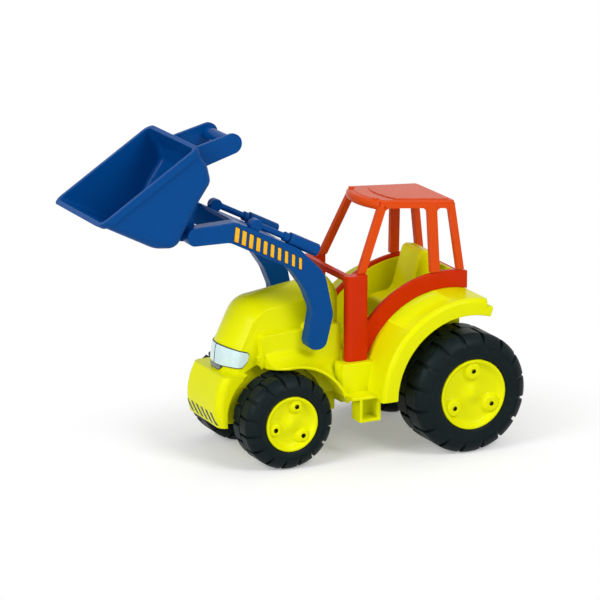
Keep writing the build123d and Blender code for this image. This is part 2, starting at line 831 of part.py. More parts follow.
def scoop_form(inset):
    """The scoop run out past its mouth, drawn inset from the outside, its side edges rounded."""
    with BuildPart() as scoop:
        with BuildSketch(tip_side) as outline:
            with BuildLine():
                hull = FilletPolyline(*scoop_outline, radius=scoop_rounding)
                Line(hull @ 1, hull @ 0)
            make_face()
            if inset:
                offset(amount=-inset, kind=Kind.INTERSECTION, mode=Mode.REPLACE)
        extrude(amount=bucket_half_width - inset, both=True)
        for end in (0, -1):
            ring = faces().sort_by(Axis.Y)[end].edges()
            ring = ring.sort_by(lambda e: e.center().X * outward[0] + e.center().Z * outward[1])
            fillet(ring[:-1], bucket_edge - inset)
    return scoop.part


def mouth_band(start, depth):
    """A slab across the mouth, from start inside it, depth further out."""
    with BuildPart() as band:
        with BuildSketch(tip_side):
            with BuildLine():
                along = (math.cos(mouth) * 40, math.sin(mouth) * 40)
                low = (lip[0] - along[0], lip[1] - along[1])
                high = (crest[0] + along[0], crest[1] + along[1])
                Polyline(
                    beyond_mouth(low, start),
                    beyond_mouth(high, start),
                    beyond_mouth(high, start + depth),
                    beyond_mouth(low, start + depth),
                    close=True,
                )
            make_face()
        extrude(amount=2 * bucket_half_width, both=True)
    return band.part


with BuildPart() as bucket_rim_form:
    add(scoop_form(-bucket_rim_proud))
    add(mouth_band(-bucket_rim, bucket_rim), mode=Mode.INTERSECT)

with BuildPart() as bucket:
    add(scoop_form(0))
    add(mouth_band(0, 2 * bucket_half_width), mode=Mode.SUBTRACT)
    add(bucket_rim_form.part)
    add(scoop_form(bucket_wall), mode=Mode.SUBTRACT)
    for hand in (1, -1):
        lug_y = arm_inner_y - arm_gap / 2
        with BuildSketch(tip_side.offset(-hand * (lug_y - lug_thickness))):
            with BuildLine():
                Polyline((-3, -7.5), (18, -4), (1, 30), (-6, 5), close=True)
            make_face()
            Circle(2 * tip_peg_radius)
        extrude(amount=-hand * lug_thickness)
        with BuildSketch(tip_side.offset(-hand * lug_y)):
            Circle(tip_peg_radius)
        extrude(amount=-hand * tip_peg_length)
        with BuildSketch(tip_side.offset(-hand * ear_y)):
            with BuildLine():
                Polyline(
                    (grip_centre[0] + 3, grip_centre[1] + 9),
                    (-6, 77),
                    (-12, 57),
                    (grip_centre[0] - 3.5, grip_centre[1] - 8.8),
                    close=True,
                )
            make_face()
            with Locations(grip_centre):
                Circle(ear_end_radius)
        extrude(amount=-hand * ear_thickness)
save(bucket, "bucket")

with BuildPart() as grip:
    with BuildSketch(tip_side):
        with Locations(grip_centre):
            Circle(grip_radius)
    extrude(amount=ear_y, both=True)
save(grip, "bucket_grip")
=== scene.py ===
"""Looks of the moulded toy tractor with its front loader: rounded mouldings, tyres, prints and stage."""

import json
import math

import bmesh
import bpy
from bpy.props import (
    FloatProperty,
    FloatVectorProperty,
    IntProperty,
    PointerProperty,
)
from mathutils import Matrix, Vector
from mathutils.bvhtree import BVHTree
from mathutils.kdtree import KDTree


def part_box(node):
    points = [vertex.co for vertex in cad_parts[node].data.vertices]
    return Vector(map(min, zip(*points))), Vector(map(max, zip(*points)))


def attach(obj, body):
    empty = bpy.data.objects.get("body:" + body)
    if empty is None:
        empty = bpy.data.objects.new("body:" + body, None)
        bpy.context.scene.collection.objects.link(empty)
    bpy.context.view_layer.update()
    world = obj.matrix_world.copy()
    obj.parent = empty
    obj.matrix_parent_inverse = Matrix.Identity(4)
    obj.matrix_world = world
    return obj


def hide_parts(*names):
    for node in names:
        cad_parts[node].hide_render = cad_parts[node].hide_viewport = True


bl_info = {
    "name": "Toy loader tractor",
    "version": (1, 0, 0),
    "blender": (4, 5, 0),
    "location": "View3D > Sidebar > Toy tractor",
    "description": "Dresses a moulded toy tractor with a front loader and sets its studio stage",
    "category": "Object",
}

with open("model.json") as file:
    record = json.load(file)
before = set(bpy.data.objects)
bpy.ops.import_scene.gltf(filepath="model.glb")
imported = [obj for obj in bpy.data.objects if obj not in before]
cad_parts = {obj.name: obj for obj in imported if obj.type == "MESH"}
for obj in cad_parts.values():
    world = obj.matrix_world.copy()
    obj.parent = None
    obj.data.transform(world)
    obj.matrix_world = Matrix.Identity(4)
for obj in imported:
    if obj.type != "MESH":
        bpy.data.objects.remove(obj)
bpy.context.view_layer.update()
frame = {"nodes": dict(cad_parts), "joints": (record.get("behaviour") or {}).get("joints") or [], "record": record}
NODES = frame["nodes"]
JOINTS = {joint["name"]: joint for joint in frame["joints"]}
MOUNTS = {mount["name"]: mount for mount in frame["record"]["mounts"]}
WHEELS = ("rear_left", "rear_right", "front_left", "front_right")
MM = 0.001

# Joining a node's triangles, and judging a rounding
WELD_GAP = 0.004 * MM
HUB_WELD_GAP = 0.01 * MM
FLAT_DEGREES = 0.05
SMALLEST_FACE = 0.02 * MM * MM
TURNED_AWAY = -0.3
ROUNDING_TRIES = 6
FAULT_REACH = 2.5

# Rounding of each moulding as a share of the edge setting
ROUNDING = {"body_shell": 1.0, "seat": 2.6, "cab_base": 1.0, "cab_roof": 0.7, "loader_arms": 0.5,
            "ram_left": 0.5, "ram_right": 0.5, "bucket": 0.6, "bucket_grip": 0.6}
LUG_EDGE = 0.7 * MM

# Steps of a turned form, all round and along one lug
WHEEL_STEPS = 96
MOUND_STEPS = 40
LUG_STEPS = 6

# Upper corners of the side windows: distance ahead of the rear axle, inset from the roof's widest
# point, half the web's thickness, and which way the pillar lies
WINDOW_CORNERS = (
    (54 * MM, 11.0 * MM, 1.0 * MM, 1),
    (26 * MM, 7.4 * MM, 1.4 * MM, -1),
    (4 * MM, 6.7 * MM, 1.4 * MM, 1),
    (4 * MM, 5.7 * MM, 1.4 * MM, -1),
)
WINDOW_DROP = 30 * MM

# First and last printed bar of an arm, ahead of and above the lift pegs, and bars of the grille
FIRST_BAR = (18 * MM, 70.5 * MM)
LAST_BAR = (82 * MM, 104.5 * MM)
GRILLE_BARS = 3

# What the camera and lamps look at, and how the photo's middle lies off it in pixels
AIM = Vector((-17.9 * MM, 0, 122.2 * MM))
PHOTO_SIDE = 600
PHOTO_SHIFT = (-1.0, 19.7)


# Settings


def length(name, text, default):
    """A length in metres that a user may change."""
    return FloatProperty(name=name, description=text, default=default, min=0, unit="LENGTH",
                         precision=5)


def tint(name, text, default):
    """A colour that a user may change."""
    return FloatVectorProperty(name=name, description=text, default=default, size=4,
                               subtype="COLOR", min=0, max=1)


class ToyColours(bpy.types.PropertyGroup):
    """Colours of the mouldings and their prints."""

    yellow: tint("Yellow", "Body, seat and hubs", (0.820, 0.840, 0.001, 1))
    red: tint("Red", "Cab's lower frame", (0.610, 0.028, 0.001, 1))
    # The roof is the same red plastic as the lower frame; its colour is that red painted lighter and more orange,
    # as painted light from above.
    roof: tint("Roof", "Cab's roof and pillars", (0.730, 0.074, 0.006, 1))
    blue: tint("Blue", "Loader arms and bucket", (0.001, 0.066, 0.268, 1))
    black: tint("Black", "Tyres", (0.006, 0.012, 0.013, 1))
    lamp: tint("Lamp", "Printed lamp glass", (0.620, 0.830, 0.860, 1))
    mouth: tint("Mouth", "Printed grille below the lamps", (0.330, 0.370, 0.390, 1))
    ink: tint("Ink", "Printed outlines and slashes", (0.012, 0.016, 0.020, 1))
    orange: tint("Orange", "Lower end of the printed bars", (0.830, 0.130, 0.004, 1))
    amber: tint("Amber", "Upper end of the printed bars", (0.900, 0.480, 0.015, 1))


class ToySizes(bpy.types.PropertyGroup):
    """Sizes of the moulded and printed details."""

    edge: length("Edge rounding", "Radius left by the mould on outer edges", 0.9 * MM)
    nose_drop: length("Nose drop", "How far the nose's top lies below the lamps' foot", 1 * MM)
    nose_round: length("Nose rounding", "Radius of the nose's upper edge", 4.5 * MM)
    window_round: length("Window rounding", "Radius of the side windows' upper corners", 5 * MM)
    back_height: length("Backrest height", "Height of the seat's back above its cushion", 46 * MM)
    back_lean: length("Backrest lean", "How far the seat's back leans at its top", 8 * MM)
    back_drop: length("Backrest drop", "How far the seat's top comes down as it leans", 6 * MM)
    lug_count: IntProperty(name="Lugs", description="Tread blocks in each row", default=16, min=6)
    lug_share: FloatProperty(name="Lug share", description="Part of the pitch that a block fills",
                             default=0.84, min=0.3, max=0.95, subtype="FACTOR")
    lug_height: length("Lug height", "Depth of the grooves between tread blocks", 2.2 * MM)
    front_turn: FloatProperty(name="Front hub turn", description="Turn of the front hubs' screws",
                              default=math.radians(-17), subtype="ANGLE")
    print_lift: length("Print lift", "How far a print stands off its surface", 0.12 * MM)
    lamp_line: length("Lamp outline", "Width of the dark line round the lamps", 0.8 * MM)
    bar_count: IntProperty(name="Bars", description="Printed bars on each arm", default=10, min=1)
    bar_height: length("Bar height", "Height of a printed bar across the arm", 12.5 * MM)
    slash_count: IntProperty(name="Slashes", description="Printed slashes on the nose", default=6,
                             min=1)


class ToyStage(bpy.types.PropertyGroup):
    """Camera and light."""

    azimuth: FloatProperty(name="Azimuth", description="Camera's turn round the toy",
                           default=math.radians(154), subtype="ANGLE")
    elevation: FloatProperty(name="Elevation", description="Camera's height above the horizon",
                             default=math.radians(15.5), subtype="ANGLE")
    distance: length("Distance", "Camera's distance from its aim", 3.29)
    lens: FloatProperty(name="Lens", description="Focal length in millimetres", default=210.0,
                        min=10, subtype="DISTANCE_CAMERA")
    key: FloatProperty(name="Key light", description="Power of the lamp at the rear side",
                       default=20.0, min=0, unit="POWER")
    front: FloatProperty(name="Front light", description="Power of the lamp ahead of the nose",
                         default=23.0, min=0, unit="POWER")
    top: FloatProperty(name="Top light", description="Power of the lamp overhead",
                       default=5.0, min=0, unit="POWER")
    sky: FloatProperty(name="Sky", description="Strength of the light from all round",
                       default=0.32, min=0)
    floor_glow: FloatProperty(name="Floor glow", description="White added to the floor as it is seen",
                              default=0.26, min=0, max=1)


def settings():
    """The scene's three groups of settings."""
    scene = bpy.context.scene
    return scene.toy_colours, scene.toy_sizes, scene.toy_stage


# Finishes


class Value:
    """A socket of a node tree; arithmetic on it adds Math nodes."""

    def __init__(self, nodes, socket):
        self.nodes = nodes
        self.socket = socket

    def math(self, operation, first, second):
        return self.nodes.node("ShaderNodeMath", {"operation": operation}, {0: first, 1: second})

    def __add__(self, other):
        return self.math("ADD", self, other)

    def __radd__(self, other):
        return self.math("ADD", other, self)

    def __sub__(self, other):
        return self.math("SUBTRACT", self, other)

    def __rsub__(self, other):
        return self.math("SUBTRACT", other, self)

    def __mul__(self, other):
        return self.math("MULTIPLY", self, other)

    def __rmul__(self, other):
        return self.math("MULTIPLY", other, self)


class Nodes:
    """A node tree whose sockets take plain values and links alike."""

    def __init__(self, tree):
        self.tree = tree

    def put(self, node, sockets):
        """Sets or links the sockets of a node."""
        for key, value in sockets.items():
            if isinstance(value, Value):
                self.tree.links.new(value.socket, node.inputs[key])
            else:
                node.inputs[key].default_value = value

    def node(self, kind, options, sockets, output=0):
        """Adds a node: its options first, then values or links for its sockets."""
        node = self.tree.nodes.new(kind)
        for key, value in options.items():
            if key == "stops":
                ramp = node.color_ramp
                while len(ramp.elements) < len(value):
                    ramp.elements.new(0.5)
                for element, (place, colour) in zip(ramp.elements, value):
                    element.position = place
                    element.color = colour
            else:
                setattr(node, key, value)
        self.put(node, sockets)
        return Value(self, node.outputs[output])


class Finish(Nodes):
    """A material built round one Principled shader."""

    def __init__(self, name):
        self.material = bpy.data.materials.new(name)
        self.material.use_nodes = True
        super().__init__(self.material.node_tree)
        self.tree.nodes.clear()
        self.shader = self.tree.nodes.new("ShaderNodeBsdfPrincipled")
        self.output = self.tree.nodes.new("ShaderNodeOutputMaterial")
        self.tree.links.new(self.shader.outputs[0], self.output.inputs[0])

    def place(self, scale=(1, 1, 1), turn=(0, 0, 0)):
        """The piece's own coordinates, in metres, scaled and turned."""
        spot = self.node("ShaderNodeTexCoord", {}, {}, "Object")
        return self.node("ShaderNodeMapping", {}, {"Vector": spot, "Scale": scale, "Rotation": turn})

    def noise(self, where, scale, detail=2.0):
        return self.node("ShaderNodeTexNoise", {}, {"Vector": where, "Scale": scale,
                                                    "Detail": detail}, "Fac")

    def ramp(self, factor, *stops):
        return self.node("ShaderNodeValToRGB", {"stops": stops}, {"Fac": factor})

    def mix(self, factor, first, second):
        """A colour between two others."""
        return self.node("ShaderNodeMix", {"data_type": "RGBA"}, {0: factor, 6: first, 7: second}, 2)

    def bump(self, height, strength, distance):
        return self.node("ShaderNodeBump", {}, {"Height": height, "Strength": strength,
                                                "Distance": distance}, "Normal")

    def wear(self, **sockets):
        """Sets the shader's sockets and gives the finished material."""
        self.put(self.shader, {key.replace("_", " "): value for key, value in sockets.items()})
        return self.material


def shade(colour, factor):
    """A colour made lighter or darker."""
    return tuple(min(1.0, c * factor) for c in colour[:3]) + (1.0,)


def moulding_finish(name, colour, roughness):
    """Moulded polyethylene: flow clouds in the colour, a faint skin, and play scuffs."""
    finish = Finish(name)
    spot = finish.place()
    clouds = finish.noise(spot, 22.0, 3.0)
    ripple = finish.noise(finish.place((1, 1, 0.35)), 60.0, 1.0)
    scratches = finish.noise(finish.place((30, 260, 60), (0.5, 0.3, 0.9)), 14.0, 4.0)
    scuff = finish.ramp(scratches, (0.62, (0, 0, 0, 1)), (0.72, (1, 1, 1, 1)))
    colour_now = finish.mix(clouds, shade(colour, 0.95), shade(colour, 1.04))
    colour_now = finish.mix(scuff * 0.03, colour_now, shade(colour, 1.3))
    return finish.wear(
        Base_Color=colour_now,
        Roughness=clouds * 0.08 + scuff * 0.08 + (roughness - 0.04),
        Specular_IOR_Level=0.06,
        Coat_Weight=0.02 - scuff * 0.015,
        Coat_Roughness=0.12,
        Normal=finish.bump(ripple, 0.06, 0.0004),
    )


def tyre_finish(name, colour):
    """Satin black moulding, a little dusty in its grooves."""
    finish = Finish(name)
    spot = finish.place()
    clouds = finish.noise(spot, 35.0, 4.0)
    skin = finish.noise(spot, 900.0, 2.0)
    dust = finish.ramp(finish.noise(spot, 140.0, 5.0), (0.5, (0, 0, 0, 1)), (0.75, (1, 1, 1, 1)))
    colour_now = finish.mix(clouds, shade(colour, 0.85), shade(colour, 1.25))
    colour_now = finish.mix(dust * 0.03, colour_now, (0.10, 0.10, 0.095, 1))
    return finish.wear(
        Base_Color=colour_now,
        Roughness=clouds * 0.12 + dust * 0.08 + 0.34,
        Specular_IOR_Level=0.07,
        Normal=finish.bump(skin * 0.4 + clouds, 0.08, 0.0003),
    )


def steel_finish(name):
    """Drawn steel rod with lines round it."""
    finish = Finish(name)
    lines = finish.noise(finish.place((1, 900, 1)), 4.0, 3.0)
    return finish.wear(
        Base_Color=finish.mix(lines, (0.42, 0.43, 0.44, 1), (0.62, 0.62, 0.63, 1)),
        Metallic=1.0,
        Roughness=lines * 0.2 + 0.25,
        Normal=finish.bump(lines, 0.1, 0.0002),
    )


def print_finish(name, low, high, direction, start, end):
    """Printed film whose ink runs from one colour to another along a direction."""
    finish = Finish(name)
    spot = finish.node("ShaderNodeTexCoord", {}, {}, "Object")
    along = finish.node("ShaderNodeVectorMath", {"operation": "DOT_PRODUCT"},
                        {0: spot, 1: direction}, "Value")
    run = finish.node("ShaderNodeMapRange", {}, {"Value": along, "From Min": start, "From Max": end})
    speck = finish.noise(spot, 2400.0, 1.0)
    ink = finish.mix(run, low, high)
    return finish.wear(
        Base_Color=finish.mix(speck * 0.08, ink, shade(high, 1.1)),
        Roughness=speck * 0.1 + 0.28,
        Specular_IOR_Level=0.3,
        Normal=finish.bump(speck, 0.03, 0.0001),
    )


def lens_finish(name, colour):
    """Printed lamp glass: pale streaks and a fine upright fluting."""
    finish = Finish(name)
    spot = finish.place()
    streaks = finish.noise(finish.place((1, 1, 0.2)), 260.0, 3.0)
    flutes = finish.node("ShaderNodeTexWave", {"bands_direction": "Y"},
                         {"Vector": spot, "Scale": 160.0, "Distortion": 1.5}, "Fac")
    pale = finish.mix(streaks, shade(colour, 0.82), shade(colour, 1.18))
    return finish.wear(
        Base_Color=finish.mix(flutes * 0.22, pale, (0.90, 0.95, 0.96, 1)),
        Roughness=streaks * 0.1 + 0.16,
        Coat_Weight=0.25,
        Normal=finish.bump(flutes, 0.05, 0.0003),
    )


# Mesh helpers


def has_room(edge, depth):
    """Whether both faces beside an edge are deeper than a rounding of the edge needs."""
    start = edge.verts[0].co
    along = (edge.verts[1].co - start).normalized()
    for face in edge.link_faces:
        reaches = (v.co - start for v in face.verts)
        if max((r - along * r.dot(along)).length for r in reaches) < depth:
            return False
    return True


def bevel_edges(bm, places, radius, segments, form):
    """Rounds the edges at the given places of the list; a vertex that strays goes back."""
    bm.edges.ensure_lookup_table()
    edges = [bm.edges[i] for i in places]
    made = bmesh.ops.bevel(bm, geom=edges, offset=radius, offset_type="OFFSET", affect="EDGES",
                           segments=segments, profile=0.5, clamp_overlap=False, material=-1)
    for vert in made["verts"]:
        spot, _, _, gap = form.find_nearest(vert.co)
        if gap > radius:
            vert.co = spot


def turned_over(bm, form):
    """Corners of the faces that point against the form they were rounded from."""
    bmesh.ops.triangulate(bm, faces=bm.faces)
    corners = []
    for face in bm.faces:
        _, normal, _, _ = form.find_nearest(face.calc_center_median())
        if face.calc_area() > SMALLEST_FACE and face.normal.dot(normal) < TURNED_AWAY:
            corners += [v.co.copy() for v in face.verts]
    return corners


def round_edges(bm, radius, degrees=28, segments=2, chosen=None, room=2.1):
    """Rounds outer edges as a mould does, and leaves those where a face would turn over."""
    form = BVHTree.FromBMesh(bm)
    limit = math.radians(degrees)
    bm.edges.index_update()
    places = [e.index for e in bm.edges
              if len(e.link_faces) == 2 and e.is_convex and e.calc_face_angle(0) > limit
              and has_room(e, room * radius) and (chosen is None or chosen(e))]
    if not places:
        raise RuntimeError("no edge to round")
    for _ in range(ROUNDING_TRIES):
        trial = bm.copy()
        bevel_edges(trial, places, radius, segments, form)
        corners = turned_over(trial, form)
        trial.free()
        if not corners:
            break
        near = KDTree(len(corners))
        for i, corner in enumerate(corners):
            near.insert(corner, i)
        near.balance()
        bm.edges.ensure_lookup_table()
        places = [i for i in places
                  if min(near.find(v.co)[2] for v in bm.edges[i].verts) > FAULT_REACH * radius]
    bevel_edges(bm, places, radius, segments, form)


def cad_copy(node):
    """A node's form with its loose triangles joined and its flat faces made whole."""
    bm = bmesh.new()
    bm.from_mesh(NODES[node].data)
    bmesh.ops.remove_doubles(bm, verts=bm.verts, dist=WELD_GAP)
    bmesh.ops.dissolve_limit(bm, angle_limit=math.radians(FLAT_DEGREES), verts=bm.verts,
                             edges=bm.edges, use_dissolve_boundaries=False)
    return bm


def make_piece(name, bm, material, body, stands_for=(), smooth=34):
    """Turns a bmesh into a piece at the origin that rides on a body."""
    mesh = bpy.data.meshes.new(name)
    bm.to_mesh(mesh)
    bm.free()
    mesh.materials.append(material)
    mesh.shade_smooth()
    mesh.set_sharp_from_angle(angle=math.radians(smooth))
    piece = bpy.data.objects.new(name, mesh)
    bpy.context.scene.collection.objects.link(piece)
    flats = piece.modifiers.new("level faces", "WEIGHTED_NORMAL")
    flats.keep_sharp = True
    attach(piece, body)
    if stands_for:
        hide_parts(*stands_for)
    return piece


def surface(node):
    """A node's surface, to lay prints on."""
    return BVHTree.FromPolygons([v.co for v in NODES[node].data.vertices],
                                [p.vertices for p in NODES[node].data.polygons])


def lay_on(bm, tree, direction, lift):
    """Moves every vertex along a direction to the surface, and off it by lift."""
    step = Vector(direction)
    for vert in bm.verts:
        spot, normal, *_ = tree.ray_cast(vert.co - step, step)
        if spot is None:
            raise RuntimeError("a print misses the surface it lies on")
        if normal.dot(step) > 0:
            normal = -normal
        vert.co = spot + normal * lift


def flat_patch(bm, corners, cuts):
    """A four-sided patch with its inside divided, so that it can follow a curve."""
    face = bm.faces.new([bm.verts.new(c) for c in corners])
    bmesh.ops.subdivide_edges(bm, edges=list(face.edges), cuts=cuts, use_grid_fill=True)


def set_finish(node, material):
    """Gives a node that stays as it is a new finish."""
    slots = NODES[node].data.materials
    slots.clear()
    slots.append(material)


# Operators


class Moulding(bpy.types.Operator):
    """Shared steps of the operators that dress a moulding."""

    bl_options = {"REGISTER"}

    def dress(self, node, name, material, body, slot, edge):
        """A node's form with its outer edges rounded."""
        bm = cad_copy(node)
        round_edges(bm, ROUNDING[node] * edge)
        make_piece(name, bm, material, body, (node,))


class TOY_OT_body(Moulding):
    """Rounds the body moulding and the seat"""

    bl_idname = "toy.body"
    bl_label = "Body and seat"

    def seat(self, sizes, yellow):
        """The seat with its backrest leaning back above the cushion."""
        bm = cad_copy("seat")
        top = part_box("seat")[1].z
        hinge = Vector((0, 0, top - sizes.back_height))
        lean = Matrix.Identity(4)
        lean[0][2] = -sizes.back_lean / sizes.back_height
        lean[2][2] = 1 - sizes.back_drop / sizes.back_height
        back = [v for v in bm.verts if v.co.z > hinge.z]
        bmesh.ops.transform(bm, matrix=lean, space=Matrix.Translation(-hinge), verts=back)
        round_edges(bm, ROUNDING["seat"] * sizes.edge, segments=3)
        make_piece("seat_moulding", bm, yellow, "chassis", ("seat",))

    def body(self, sizes, yellow):
        """The body with the nose's upper edge well rounded."""
        bm = cad_copy("body_shell")
        lamp_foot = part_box("lamp_strip")[0]
        nose_top = lamp_foot.z - sizes.nose_drop
        level = 0.2 * MM

        def on_nose(edge):
            return all(abs(v.co.z - nose_top) < level and v.co.x > lamp_foot.x for v in edge.verts)

        round_edges(bm, sizes.nose_round, segments=5, chosen=on_nose, room=1.1)
        round_edges(bm, ROUNDING["body_shell"] * sizes.edge)
        make_piece("body_moulding", bm, yellow, "chassis", ("body_shell",))

    def execute(self, context):
        colours, sizes, _ = settings()
        yellow = moulding_finish("yellow_moulding", colours.yellow, roughness=0.26)
        self.body(sizes, yellow)
        self.seat(sizes, yellow)
        return {"FINISHED"}


class TOY_OT_cab(Moulding):
    """Rounds the cab's lower frame and its roof"""

    bl_idname = "toy.cab"
    bl_label = "Cab"

    def window_corner(self, bm, tree, start, ahead, radius, half):
        """A web that rounds the corner between a pillar and the roof above it."""
        up = Vector((0, 0, 1))
        rail = tree.ray_cast(start, up)[0]
        if rail is None:
            raise RuntimeError("no roof above a side window")
        clear, root, bends = 0.5 * MM, MM, 8
        below = rail - up * clear
        head = tree.ray_cast(below, ahead)[0]
        side = tree.ray_cast(below - up * radius, ahead)[0]
        if head is None or side is None:
            raise RuntimeError("no pillar beside a side window")
        along = tree.ray_cast(head - ahead * radius - up * 2 * root, up)[0]
        if along is None:
            raise RuntimeError("no roof beside a side window's corner")
        corner = head + up * clear
        outline = [corner + ahead * root + up * root, side + ahead * root]
        for k in range(bends + 1):
            t = k / bends
            outline.append(side * (1 - t) ** 2 + corner * 2 * t * (1 - t) + along * t ** 2)
        outline.append(along + up * root)
        face = bm.faces.new([bm.verts.new(p - Vector((0, half, 0))) for p in outline])
        swept = bmesh.ops.extrude_face_region(bm, geom=[face])
        verts = [v for v in swept["geom"] if isinstance(v, bmesh.types.BMVert)]
        bmesh.ops.translate(bm, vec=(0, 2 * half, 0), verts=verts)
        web = {f for v in verts for f in v.link_faces} | {face}
        bmesh.ops.recalc_face_normals(bm, faces=list(web))

    def roof(self, sizes, orange):
        """The roof and its pillars, with the side windows' upper corners rounded."""
        bm = cad_copy("cab_roof")
        round_edges(bm, ROUNDING["cab_roof"] * sizes.edge)
        tree = surface("cab_roof")
        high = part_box("cab_roof")[1]
        axle_x = JOINTS["rear_left_wheel_spin"]["pos_m"][0]
        for hand in (1, -1):
            for x, inset, half, way in WINDOW_CORNERS:
                start = Vector((axle_x + x, hand * (high.y - inset), high.z - WINDOW_DROP))
                ahead = Vector((way, 0, 0))
                self.window_corner(bm, tree, start, ahead, sizes.window_round, half)
        make_piece("cab_roof_moulding", bm, orange, "chassis", ("cab_roof",))

    def execute(self, context):
        colours, sizes, _ = settings()
        red = moulding_finish("red_moulding", colours.red, roughness=0.27)
        # The roof and pillars take the frame's red painted lighter, as painted top light.
        orange = moulding_finish("roof_moulding", colours.roof, roughness=0.27)
        self.dress("cab_base", "cab_frame_moulding", red, "chassis", "red_moulding", sizes.edge)
        self.roof(sizes, orange)
        return {"FINISHED"}


class TOY_OT_loader(Moulding):
    """Rounds the loader's arms, rams, bucket and grip"""

    bl_idname = "toy.loader"
    bl_label = "Loader"

    def execute(self, context):
        colours, sizes, _ = settings()
        blue = moulding_finish("blue_moulding", colours.blue, roughness=0.25)
        for node in ("loader_arms", "ram_left", "ram_right"):
            self.dress(node, node + "_moulding", blue, "loader", "blue_moulding", sizes.edge)
        for node in ("bucket", "bucket_grip"):
            self.dress(node, node + "_moulding", blue, "bucket", "blue_moulding", sizes.edge)
        return {"FINISHED"}


